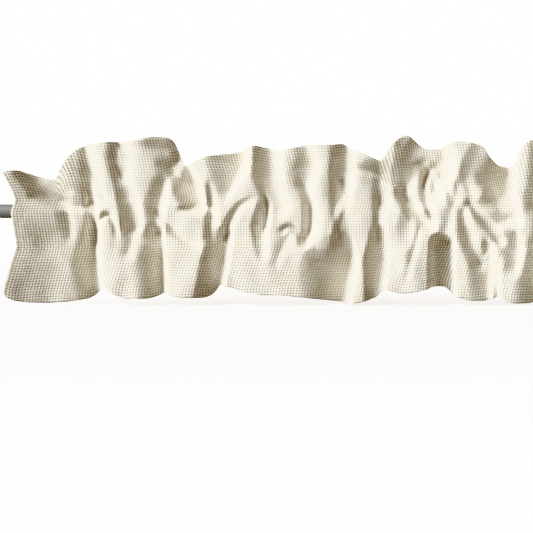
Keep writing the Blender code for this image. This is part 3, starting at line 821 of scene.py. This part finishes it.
# %% The weave as a node group
YARN_ACROSS = 4.8 * MM              # from one yarn to the next
YARN_UP = 4.4 * MM
YARN_WANDER = 1.2 * MM
YARN_BENDS = 60.0                   # bends of a yarn in a metre
GAP_START, GAP_FULL = 0.24, 0.31    # in shares of a yarn's width, from its middle
# painted shade: a faint darker line where two yarns lie side by side
EDGE_START, EDGE_SHADE = 0.40, 0.22
ARCH = 3.2                          # how much a yarn bows as it passes over another
OVER_SHARE = 0.45
CROWN_SHARE = 0.55
THREADS = 3                         # threads side by side in one yarn
THREAD_RELIEF = 0.07


def wandering_place(tree, place):
    """Distances across and up the flat cloth, shifted so that the yarns wander."""
    wander = noise(tree, (1, 2), place, YARN_BENDS, 1.0)
    centred = node(tree, "ShaderNodeVectorMath", (2, 2), operation="SUBTRACT")
    tree.links.new(wander.outputs["Color"], centred.inputs[0])
    centred.inputs[1].default_value = (0.5, 0.5, 0.5)
    moved = node(tree, "ShaderNodeVectorMath", (3, 1), operation="MULTIPLY_ADD")
    tree.links.new(centred.outputs[0], moved.inputs[0])
    moved.inputs[1].default_value = (YARN_WANDER, YARN_WANDER, 0.0)
    tree.links.new(place, moved.inputs[2])
    parts = node(tree, "ShaderNodeSeparateXYZ", (4, 0))
    tree.links.new(moved.outputs[0], parts.inputs[0])
    return parts.outputs["X"], parts.outputs["Y"]


def yarn_cell(tree, row, distance, pitch):
    """The number of a yarn, the place across it, and how far that is from its middle."""
    count = maths(tree, "DIVIDE", (5, row), distance, pitch)
    whole = maths(tree, "FLOOR", (6, row), count)
    inside = maths(tree, "SUBTRACT", (7, row), count, whole)
    middle = maths(tree, "SUBTRACT", (7, row + 2), inside, 0.5)
    return whole, inside, maths(tree, "ABSOLUTE", (8, row + 2), middle)


def gap_mask(tree, from_x, from_y):
    """Mask of painted shade: a gap where four yarns meet, and a faint line where two lie side
    by side.
    """
    corner = maths(tree, "MINIMUM", (9, 2), from_x, from_y)
    gap = ramp(tree, (10, 2), corner, GAP_START, GAP_FULL)
    edge = maths(tree, "MAXIMUM", (9, 3), from_x, from_y)
    seam = ramp(tree, (10, 3), edge, EDGE_START, 0.5)
    faint = maths(tree, "MULTIPLY", (11, 3), seam, EDGE_SHADE)
    return maths(tree, "MAXIMUM", (11, 2), gap, faint)


def arch(tree, row, from_middle):
    """How high a yarn stands where it bows over another."""
    squared = maths(tree, "POWER", (8, row), from_middle, 2.0)
    drop = maths(tree, "MULTIPLY", (9, row), ARCH, squared)
    return maths(tree, "SUBTRACT", (9, row + 1), 1.0, drop)


def thread_wave(tree, row, inside):
    """Waves across a yarn, one for each of its threads."""
    turns = maths(tree, "MULTIPLY", (9, row), inside, 2 * math.pi * THREADS)
    return maths(tree, "COSINE", (10, row), turns)


def weave_height(tree, parity, across, up, from_x, from_y):
    """Height of the weave: bowed yarns, crowned where they cross, with their threads."""
    arch_x, arch_y = arch(tree, 6, from_x), arch(tree, 8, from_y)
    over = choose(tree, (10, 6), parity, arch_x, arch_y)
    crossing = maths(tree, "MULTIPLY", (9, 10), arch_x, arch_y)
    crown = maths(tree, "MULTIPLY", (10, 5), crossing, CROWN_SHARE)
    threads = choose(tree, (10, 8), parity,
                     thread_wave(tree, 12, across), thread_wave(tree, 13, up))
    bowed = maths(tree, "MULTIPLY", (11, 7), over, OVER_SHARE)
    ridges = maths(tree, "MULTIPLY", (11, 8), threads, -THREAD_RELIEF)
    return maths(tree, "ADD", (12, 6), maths(tree, "ADD", (11, 6), bowed, crown), ridges)


def yarn_tint(tree, column, line):
    """A random tint for each crossing of two yarns."""
    yarn = node(tree, "ShaderNodeCombineXYZ", (9, 14))
    tree.links.new(column, yarn.inputs[0])
    tree.links.new(line, yarn.inputs[1])
    speck = node(tree, "ShaderNodeTexWhiteNoise", (10, 14), noise_dimensions="2D")
    tree.links.new(yarn.outputs[0], speck.inputs["Vector"])
    return speck.outputs["Value"]


def weave_group():
    """Gap mask, height and tint of a basket weave, from a flat place in metres."""
    tree = bpy.data.node_groups.new("basket weave", "ShaderNodeTree")
    tree.interface.new_socket("Place", in_out="INPUT", socket_type="NodeSocketVector")
    for name in ("Gap", "Height", "Tint"):
        tree.interface.new_socket(name, in_out="OUTPUT", socket_type="NodeSocketFloat")
    start = node(tree, "NodeGroupInput", (0, 0))
    end = node(tree, "NodeGroupOutput", (13, 0))

    x, y = wandering_place(tree, start.outputs["Place"])
    column, across, from_x = yarn_cell(tree, 0, x, YARN_ACROSS)
    line, up, from_y = yarn_cell(tree, 1, y, YARN_UP)
    both = maths(tree, "ADD", (7, 5), column, line)
    parity = maths(tree, "FLOORED_MODULO", (8, 5), both, 2.0)
    height = weave_height(tree, parity, across, up, from_x, from_y)
    tree.links.new(gap_mask(tree, from_x, from_y), end.inputs["Gap"])
    tree.links.new(height, end.inputs["Height"])
    tree.links.new(yarn_tint(tree, column, line), end.inputs["Tint"])
    return tree


weave = weave_group()
print("weave group has", len(weave.nodes), "nodes")

# %% [markdown]
# The cloth's own colour is a warm cream that looks almost white in full light and
# turns to taupe in the shade of the folds.  The gaps between the yarns are painted
# much darker, as painted shade.  The surface is matt, with the faint bloom of
# brushed cotton.

# %% Cloth material
CREAM = (0.68, 0.615, 0.49, 1.0)
PALE = (0.95, 0.915, 0.83, 1.0)
# painted shade: the dark colour put in the gaps between the yarns
GAP_PAINTED_SHADE = (0.028, 0.022, 0.014, 1.0)
TINT_SHARE, CLOUD_SHARE = 0.5, 0.5  # how much single crossings and soft clouds pale it
CLOUDS = 24.0                       # clouds in a metre
FIBRES = 2600.0                     # fibres in a metre
FUZZ_SHARE = 0.10
WEAVE_RELIEF = 0.5 * MM


def cloth_material():
    """Woven cotton: colour, gaps and relief all follow the flat place."""
    material, tree, shader = new_material("cream basket weave")
    place = node(tree, "ShaderNodeUVMap", (-6, 0), uv_map="flat cloth").outputs["UV"]
    woven = node(tree, "ShaderNodeGroup", (-5, 0), node_tree=weave)
    tree.links.new(place, woven.inputs["Place"])

    cloud = noise(tree, (-5, 2), place, CLOUDS, 4.0)
    tint = maths(tree, "MULTIPLY", (-4, 1), woven.outputs["Tint"], TINT_SHARE)
    cloudy = maths(tree, "MULTIPLY", (-4, 3), cloud.outputs["Fac"], CLOUD_SHARE)
    shade = maths(tree, "ADD", (-4, 2), tint, cloudy, clamp=True)
    yarn = mix_colour(tree, (-3, 1), shade, CREAM, PALE)
    # the gaps and the faint seams between the yarns get the painted shade colour
    colour = mix_colour(tree, (-2, 0), woven.outputs["Gap"], yarn, GAP_PAINTED_SHADE)
    tree.links.new(colour, shader.inputs["Base Color"])

    fibres = noise(tree, (-5, 4), place, FIBRES, 2.0)
    fuzz = maths(tree, "MULTIPLY", (-4, 4), fibres.outputs["Fac"], FUZZ_SHARE)
    height = maths(tree, "ADD", (-3, 3), woven.outputs["Height"], fuzz)
    add_relief(tree, shader, height, 0.8, WEAVE_RELIEF)
    shader.inputs["Roughness"].default_value = 0.92
    shader.inputs["Sheen Weight"].default_value = 0.12
    shader.inputs["Sheen Roughness"].default_value = 0.5
    shader.inputs["Specular IOR Level"].default_value = 0.25
    return material


valance.data.materials.clear()
valance.data.materials.append(cloth_material())
print("cloth material done")

# %% [markdown]
# The sewing thread is the same cream cotton, twisted tightly and a little glossier.
# Its colour is painted darker in the grooves of the twist, as painted shade.

# %% Thread material
# painted shade in the grooves of the twist
THREAD_PAINTED_SHADE = (0.60, 0.54, 0.43, 1.0)
THREAD_CREAM = (0.86, 0.81, 0.70, 1.0)
THREAD_TWISTS = 900.0
TWIST_RELIEF = 0.08 * MM


def thread_material():
    """Cream cotton thread with a fine twist, and painted shade in the twist's grooves."""
    material, tree, shader = new_material("cream sewing thread")
    place = node(tree, "ShaderNodeTexCoord", (-5, 0))
    twist = node(tree, "ShaderNodeTexWave", (-4, 0), bands_direction="DIAGONAL")
    twist.inputs["Scale"].default_value = THREAD_TWISTS
    twist.inputs["Distortion"].default_value = 0.6
    tree.links.new(place.outputs["Object"], twist.inputs["Vector"])
    # painted shade: the colour is darker where the twist's relief is lowest
    tone = mix_colour(tree, (-2, 0), twist.outputs["Fac"], THREAD_PAINTED_SHADE, THREAD_CREAM)
    tree.links.new(tone, shader.inputs["Base Color"])
    add_relief(tree, shader, twist.outputs["Fac"], 0.5, TWIST_RELIEF)
    shader.inputs["Roughness"].default_value = 0.6
    shader.inputs["Specular IOR Level"].default_value = 0.35
    return material


stitches.data.materials.append(thread_material())
print("thread material done")

# %% [markdown]
# The rod is the model's own node.  Real ones are thin steel tube with a satin grey
# coat, so the material is a coated metal with the faint streaks that drawing the
# tube leaves along it.

# %% Rod material
DARK_STEEL = (0.17, 0.173, 0.176, 1.0)
PALE_STEEL = (0.25, 0.253, 0.256, 1.0)
STREAKS = (6.0, 900.0, 900.0)       # few along the rod and many round it
SMOOTHEST, ROUGHEST = 0.34, 0.48
STREAK_RELIEF = 0.05 * MM


def rod_material():
    """Satin grey coat on drawn steel."""
    material, tree, shader = new_material("satin grey steel")
    place = node(tree, "ShaderNodeTexCoord", (-6, 0))
    stretch = node(tree, "ShaderNodeMapping", (-5, 0))
    stretch.inputs["Scale"].default_value = STREAKS
    tree.links.new(place.outputs["Object"], stretch.inputs["Vector"])
    streak = noise(tree, (-4, 0), stretch.outputs["Vector"], 1.0, 3.0, "3D").outputs["Fac"]
    tone = mix_colour(tree, (-3, 0), streak, DARK_STEEL, PALE_STEEL)
    tree.links.new(tone, shader.inputs["Base Color"])
    rough = ramp(tree, (-3, 2), streak, 0.2, 0.8, SMOOTHEST, ROUGHEST)
    tree.links.new(rough, shader.inputs["Roughness"])
    add_relief(tree, shader, streak, 0.15, STREAK_RELIEF)
    shader.inputs["Metallic"].default_value = 0.55
    return material


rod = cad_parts["curtain_rod"]
rod.data.materials.clear()
rod.data.materials.append(rod_material())
print("rod material done")

# %% [markdown]

# %% [markdown]
# The setting is a pale floor just under the hem and a white room whose own light is
# warm.  A broad light from the left rakes across the folds: surfaces that turn
# towards it are bright, and those that turn away fall into soft warm shade.  A
# weaker light from behind shows the back of the cloth.

# %% Floor, room and lights
FLOOR_SIZE = 60.0                   # in metres
FLOOR_GAP = 3.0 * MM
FLOOR_GLOW = (0.6, 6.0)             # near the valance and far away
FLOOR_FADE = (0.6, 2.5)             # metres away at which those two hold
KEY_TURN = math.radians(61.0)       # how far round to the left the key light stands
KEY_HEIGHT = math.radians(25.0)
KEY_STRENGTH = 9.4
KEY_SPREAD = math.radians(46.0)
KEY_COLOUR = (0.97, 1.0, 1.03)
ROOM_LIGHT = 0.215                  # as it falls on the valance
ROOM_SEEN = 30.0                    # as the camera sees it
ROOM_WARMTH = (1.0, 0.79, 0.49, 1.0)
REAR_STRENGTH = 2.6
REAR_SPREAD = math.radians(50.0)
REAR_TURN = math.radians(38.0)
REAR_RISE = 0.25
WHITE = (1.0, 1.0, 1.0, 1.0)


def floor_material():
    """Matt white that glows more with distance, so that it runs into the white room."""
    material, tree, shader = new_material("white floor")
    place = node(tree, "ShaderNodeTexCoord", (-5, 0))
    away = node(tree, "ShaderNodeVectorMath", (-4, 0), operation="LENGTH")
    tree.links.new(place.outputs["Object"], away.inputs[0])
    glow = ramp(tree, (-3, 0), away.outputs["Value"], *FLOOR_FADE, *FLOOR_GLOW)
    tree.links.new(glow, shader.inputs["Emission Strength"])
    shader.inputs["Base Color"].default_value = (0.9, 0.9, 0.9, 1.0)
    shader.inputs["Emission Color"].default_value = WHITE
    shader.inputs["Roughness"].default_value = 0.9
    shader.inputs["Specular IOR Level"].default_value = 0.1
    return material


hem_lowest = min(vertex.co.z for vertex in valance.data.vertices)
bpy.ops.mesh.primitive_plane_add(
    size=FLOOR_SIZE, location=(0.0, 0.0, hem_lowest - FLOOR_GAP))
floor = bpy.context.object
floor.name = "floor"
floor.data.materials.append(floor_material())
floor.visible_diffuse = False
floor.visible_glossy = False

world = bpy.data.worlds.new("white room")
world.use_nodes = True
bpy.context.scene.world = world
room = world.node_tree
background = room.nodes["Background"]
path = node(room, "ShaderNodeLightPath", (-3, 0))
seen = path.outputs["Is Camera Ray"]
room.links.new(ramp(room, (-2, 0), seen, 0.0, 1.0, ROOM_LIGHT, ROOM_SEEN),
               background.inputs["Strength"])
room.links.new(mix_colour(room, (-2, 2), seen, ROOM_WARMTH, WHITE),
               background.inputs["Color"])


def far_light(name, towards, strength, spread, colour=(1.0, 1.0, 1.0)):
    """A broad light far away, in the direction given."""
    light = bpy.data.lights.new(name, "SUN")
    light.energy = strength
    light.color = colour
    light.angle = spread
    lamp = bpy.data.objects.new(name, light)
    bpy.context.collection.objects.link(lamp)
    lamp.rotation_euler = towards.to_track_quat("Z", "Y").to_euler()


towards_key = Vector((-math.sin(KEY_TURN) * math.cos(KEY_HEIGHT),
                      -math.cos(KEY_TURN) * math.cos(KEY_HEIGHT),
                      math.sin(KEY_HEIGHT)))
towards_rear = Vector((-math.sin(REAR_TURN), math.cos(REAR_TURN), REAR_RISE))
far_light("broad light from the left", towards_key, KEY_STRENGTH, KEY_SPREAD, KEY_COLOUR)
far_light("soft light from behind", towards_rear, REAR_STRENGTH, REAR_SPREAD)
print("lights done")

# %% [markdown]
# The camera stands straight in front, far away with a long lens, a few degrees
# above the rod's height.  The valance fills the frame from the left edge and runs
# out of it on the right.  The view keeps the cream true in full light, and its gamma
# opens the shade in the folds.

# %% Camera
LENS = 150.0
SENSOR = 36.0
FRAME_WIDTH = 0.906                 # metres across the frame, at the valance
ELEVATION = math.radians(4.0)
FAR_END = 100.0
VIEW_GAMMA = 1.2
aim = Vector((-0.0455, -0.020, -0.0933))
distance = FRAME_WIDTH * LENS / SENSOR
camera_data = bpy.data.cameras.new("camera")
camera_data.lens = LENS
camera_data.sensor_width = SENSOR
camera = bpy.data.objects.new("camera", camera_data)
bpy.context.collection.objects.link(camera)
back = Vector((0.0, -math.cos(ELEVATION), math.sin(ELEVATION)))
camera.location = aim + distance * back
camera.rotation_euler = (-back).to_track_quat("-Z", "Y").to_euler()
camera_data.clip_end = FAR_END
bpy.context.scene.camera = camera
bpy.context.scene.view_settings.view_transform = "Khronos PBR Neutral"
bpy.context.scene.view_settings.gamma = VIEW_GAMMA
print("camera", round(distance, 2), "m away")
